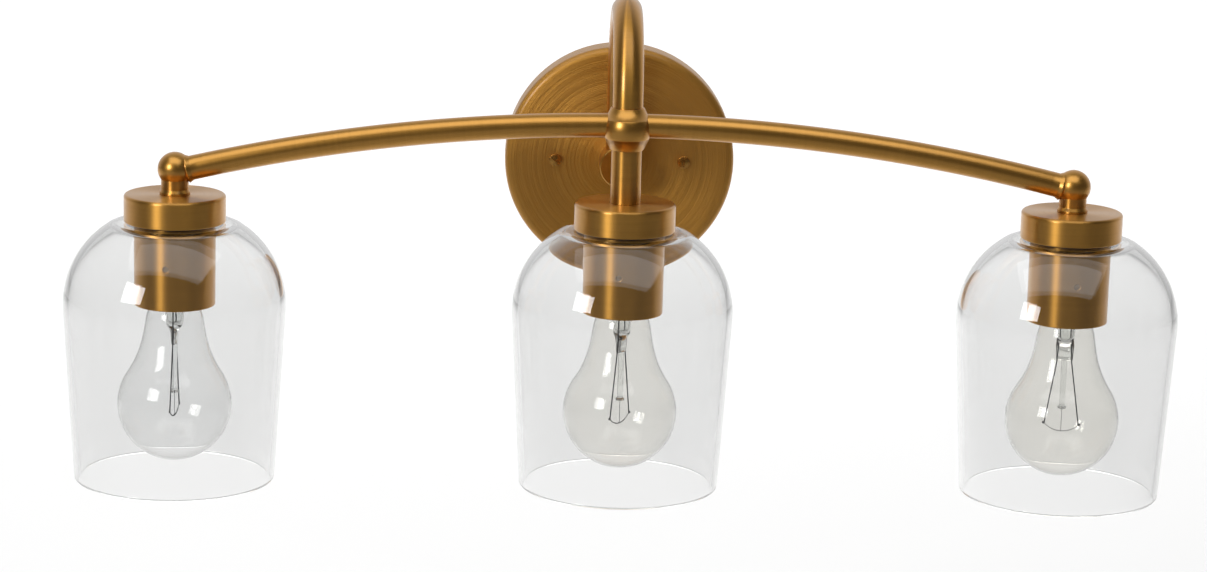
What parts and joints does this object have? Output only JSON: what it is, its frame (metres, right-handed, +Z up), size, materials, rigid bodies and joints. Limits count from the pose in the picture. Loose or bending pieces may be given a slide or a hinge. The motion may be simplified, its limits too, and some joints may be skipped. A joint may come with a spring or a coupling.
{
  "type": "vanity light bar",
  "caption": "Wall-mounted vanity light bar: round canopy, gooseneck arm, curved cross bar and clear glass bell shades around screw-in bulbs.",
  "frame": {"origin": "centre of the canopy's open back, on the wall plane", "axes": "+X to the right along the row of lamps, +Y into the wall, +Z up"},
  "size_m": [0.5842, 0.176, 0.2539],
  "materials": {
    "satin_brass": "satin, finely brushed, lacquered",
    "plain_brass": "plain turned",
    "zinc_steel": "zinc plated",
    "green_screw": "green dyed zinc",
    "gasket_rubber": "matte",
    "black_wire": "satin insulation",
    "white_wire": "satin insulation",
    "green_wire": "satin insulation",
    "wire_nut_plastic": "moulded, satin",
    "black_phenolic": "moulded phenolic",
    "clear_glass": "clear, polished",
    "bulb_clear_glass": "clear, polished",
    "stem_glass": "clear, fire polished",
    "tin_solder": "dull solder",
    "black_insulator": "glossy black glass",
    "bulb_aluminium": "bright rolled sheet",
    "lead_wire": "drawn wire"
  },
  "bodies": {
    "fixture": {"canopy": "satin_brass", "crossbar": "zinc_steel", "canopy_screws": "satin_brass", "ground_screw": "green_screw", "arm_boss": "satin_brass", "arm_nipple": "plain_brass", "arm_lock_washer": "zinc_steel", "arm_hex_nut": "plain_brass", "gooseneck_tube": "satin_brass", "hub_ball": "satin_brass", "stem_tube": "satin_brass", "bar_left": "satin_brass", "bar_right": "satin_brass", "end_ball_left": "satin_brass", "end_ball_right": "satin_brass", "neck_collars": "satin_brass", "lamp_nipples": "plain_brass", "cap_nuts": "plain_brass", "gaskets": "gasket_rubber", "wires_live": "black_wire", "wires_neutral": "white_wire", "wire_ground": "green_wire", "wire_nuts": "wire_nut_plastic", "contact_tabs": "plain_brass", "screw_shells": "plain_brass", "cap_left": "satin_brass", "cap_centre": "satin_brass", "cap_right": "satin_brass", "lampholder_left": "black_phenolic", "lampholder_centre": "black_phenolic", "lampholder_right": "black_phenolic"},
    "left_bulb_carrier": {"bulb_contact_left": "tin_solder"},
    "left_bulb": {"bulb_insulator_left": "black_insulator", "bulb_base_left": "bulb_aluminium", "bulb_glass_left": "bulb_clear_glass", "bulb_stem_left": "stem_glass", "bulb_filament_left": "lead_wire"},
    "left_shade": {"shade_left": "clear_glass"},
    "left_sleeve": {"sleeve_left": "satin_brass", "set_screw_left": "satin_brass"},
    "centre_bulb_carrier": {"bulb_contact_centre": "tin_solder"},
    "centre_bulb": {"bulb_insulator_centre": "black_insulator", "bulb_base_centre": "bulb_aluminium", "bulb_glass_centre": "bulb_clear_glass", "bulb_stem_centre": "stem_glass", "bulb_filament_centre": "lead_wire"},
    "centre_shade": {"shade_centre": "clear_glass"},
    "centre_sleeve": {"sleeve_centre": "satin_brass", "set_screw_centre": "satin_brass"},
    "right_bulb_carrier": {"bulb_contact_right": "tin_solder"},
    "right_bulb": {"bulb_insulator_right": "black_insulator", "bulb_base_right": "bulb_aluminium", "bulb_glass_right": "bulb_clear_glass", "bulb_stem_right": "stem_glass", "bulb_filament_right": "lead_wire"},
    "right_shade": {"shade_right": "clear_glass"},
    "right_sleeve": {"sleeve_right": "satin_brass", "set_screw_right": "satin_brass"}
  },
  "joints": [
    {"name": "left_bulb_travel", "type": "slide", "parent": "fixture", "child": "left_bulb_carrier", "axis": [0, 0, -1], "range_m": [0, 0.02177]},
    {"name": "left_bulb_turn", "type": "hinge", "parent": "left_bulb_carrier", "child": "left_bulb", "pos_m": [-0.2341, -0.118, -0.04823], "axis": [0, 0, -1], "range_deg": [0, 2160]},
    {"name": "left_shade_travel", "type": "slide", "parent": "fixture", "child": "left_shade", "axis": [0, 0, -1], "range_m": [0, 0.00799]},
    {"name": "left_sleeve_turn", "type": "hinge", "parent": "left_shade", "child": "left_sleeve", "pos_m": [-0.2341, -0.118, -0.03823], "axis": [0, 0, -1], "range_deg": [0, 1920]},
    {"name": "centre_bulb_travel", "type": "slide", "parent": "fixture", "child": "centre_bulb_carrier", "axis": [0, 0, -1], "range_m": [0, 0.02177]},
    {"name": "centre_bulb_turn", "type": "hinge", "parent": "centre_bulb_carrier", "child": "centre_bulb", "pos_m": [0, -0.118, -0.04823], "axis": [0, 0, -1], "range_deg": [0, 2160]},
    {"name": "centre_shade_travel", "type": "slide", "parent": "fixture", "child": "centre_shade", "axis": [0, 0, -1], "range_m": [0, 0.00799]},
    {"name": "centre_sleeve_turn", "type": "hinge", "parent": "centre_shade", "child": "centre_sleeve", "pos_m": [0, -0.118, -0.03823], "axis": [0, 0, -1], "range_deg": [0, 1920]},
    {"name": "right_bulb_travel", "type": "slide", "parent": "fixture", "child": "right_bulb_carrier", "axis": [0, 0, -1], "range_m": [0, 0.02177]},
    {"name": "right_bulb_turn", "type": "hinge", "parent": "right_bulb_carrier", "child": "right_bulb", "pos_m": [0.2341, -0.118, -0.04823], "axis": [0, 0, -1], "range_deg": [0, 2160]},
    {"name": "right_shade_travel", "type": "slide", "parent": "fixture", "child": "right_shade", "axis": [0, 0, -1], "range_m": [0, 0.00799]},
    {"name": "right_sleeve_turn", "type": "hinge", "parent": "right_shade", "child": "right_sleeve", "pos_m": [0.2341, -0.118, -0.03823], "axis": [0, 0, -1], "range_deg": [0, 1920]}
  ],
  "couplings": [
    {"joint": "left_bulb_turn", "follows": "left_bulb_travel", "rad_per_m": 1731.6},
    {"joint": "left_sleeve_turn", "follows": "left_shade_travel", "rad_per_m": 4188.8},
    {"joint": "centre_bulb_turn", "follows": "centre_bulb_travel", "rad_per_m": 1731.6},
    {"joint": "centre_sleeve_turn", "follows": "centre_shade_travel", "rad_per_m": 4188.8},
    {"joint": "right_bulb_turn", "follows": "right_bulb_travel", "rad_per_m": 1731.6},
    {"joint": "right_sleeve_turn", "follows": "right_shade_travel", "rad_per_m": 4188.8}
  ]
}
